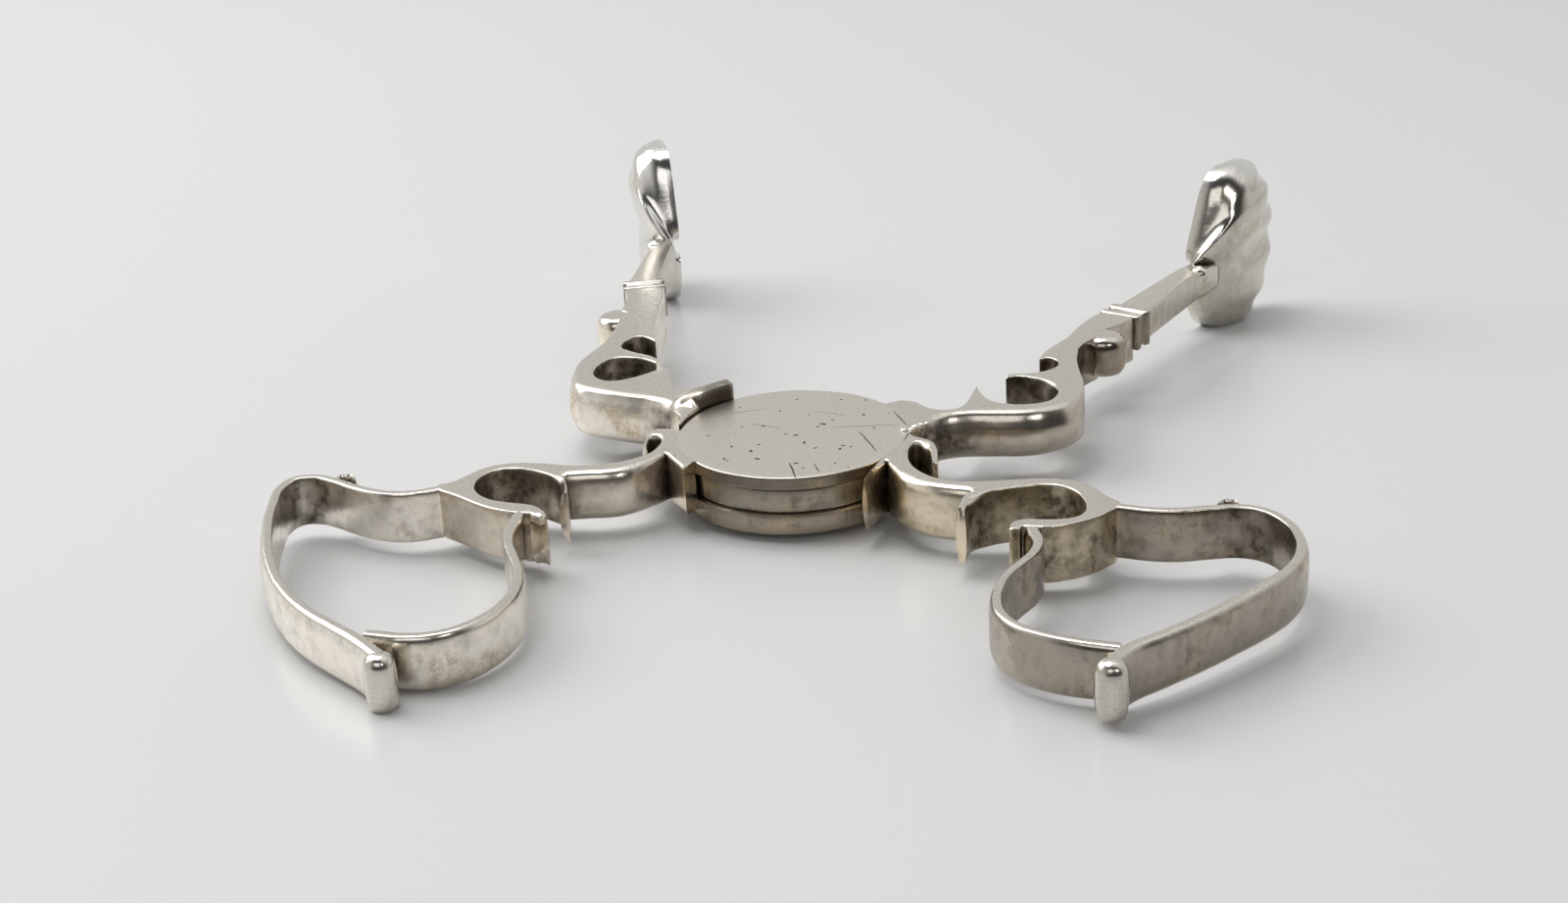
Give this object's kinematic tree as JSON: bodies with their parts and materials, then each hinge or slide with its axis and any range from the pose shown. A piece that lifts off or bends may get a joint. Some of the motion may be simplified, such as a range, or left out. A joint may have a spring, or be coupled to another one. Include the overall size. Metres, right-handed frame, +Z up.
{
  "type": "sugar tongs",
  "caption": "Scissor-action silver sugar tongs with a round box joint, scrolled handles with finger rings, scrolled arms and fluted shell grips.",
  "frame": {"origin": "on the pivot axis at the flat underside of the round box joint", "axes": "+Z up along the pivot axis, +Y from the pivot towards the shell grips, +X towards the side of the right handle"},
  "size_m": [0.0859, 0.1121, 0.0181],
  "materials": {
    "box_floor_plate": "satin worn silver with fine pits and scratches",
    "box_cover_plate": "satin worn silver with fine pits and scratches",
    "pivot_pin": "filed flush silver",
    "left_handle_scroll": "worn polished silver with brown-grey tarnish in the hollows",
    "left_ring_outer_band": "worn polished silver with brown-grey tarnish in the hollows",
    "left_ring_inner_band": "worn polished silver with brown-grey tarnish in the hollows",
    "right_arm_scroll": "worn polished silver with brown-grey tarnish in the hollows",
    "right_arm_volute": "worn polished silver with brown-grey tarnish in the hollows",
    "right_arm_collar": "worn polished silver with brown-grey tarnish in the hollows",
    "right_arm_shank": "worn polished silver with brown-grey tarnish in the hollows",
    "right_shell_grip": "bright polished silver with dark flutes",
    "tongue_plate": "satin worn silver with fine pits and scratches",
    "right_handle_scroll": "worn polished silver with brown-grey tarnish in the hollows",
    "right_ring_outer_band": "worn polished silver with brown-grey tarnish in the hollows",
    "right_ring_inner_band": "worn polished silver with brown-grey tarnish in the hollows",
    "left_arm_scroll": "worn polished silver with brown-grey tarnish in the hollows",
    "left_arm_volute": "worn polished silver with brown-grey tarnish in the hollows",
    "left_arm_collar": "worn polished silver with brown-grey tarnish in the hollows",
    "left_arm_shank": "worn polished silver with brown-grey tarnish in the hollows",
    "left_shell_grip": "bright polished silver with dark flutes"
  },
  "bodies": {
    "box_half": {"box_floor_plate": "box_floor_plate", "box_cover_plate": "box_cover_plate", "pivot_pin": "pivot_pin", "left_handle_scroll": "left_handle_scroll", "left_ring_outer_band": "left_ring_outer_band", "left_ring_inner_band": "left_ring_inner_band", "right_arm_scroll": "right_arm_scroll", "right_arm_volute": "right_arm_volute", "right_arm_collar": "right_arm_collar", "right_arm_shank": "right_arm_shank", "right_shell_grip": "right_shell_grip"},
    "tongue_half": {"tongue_plate": "tongue_plate", "right_handle_scroll": "right_handle_scroll", "right_ring_outer_band": "right_ring_outer_band", "right_ring_inner_band": "right_ring_inner_band", "left_arm_scroll": "left_arm_scroll", "left_arm_volute": "left_arm_volute", "left_arm_collar": "left_arm_collar", "left_arm_shank": "left_arm_shank", "left_shell_grip": "left_shell_grip"}
  },
  "joints": [
    {"name": "box_pivot", "type": "hinge", "parent": "box_half", "child": "tongue_half", "pos_m": [0, 0, 0.0026], "axis": [0, 0, -1], "range_deg": [0, 54.9]}
  ]
}
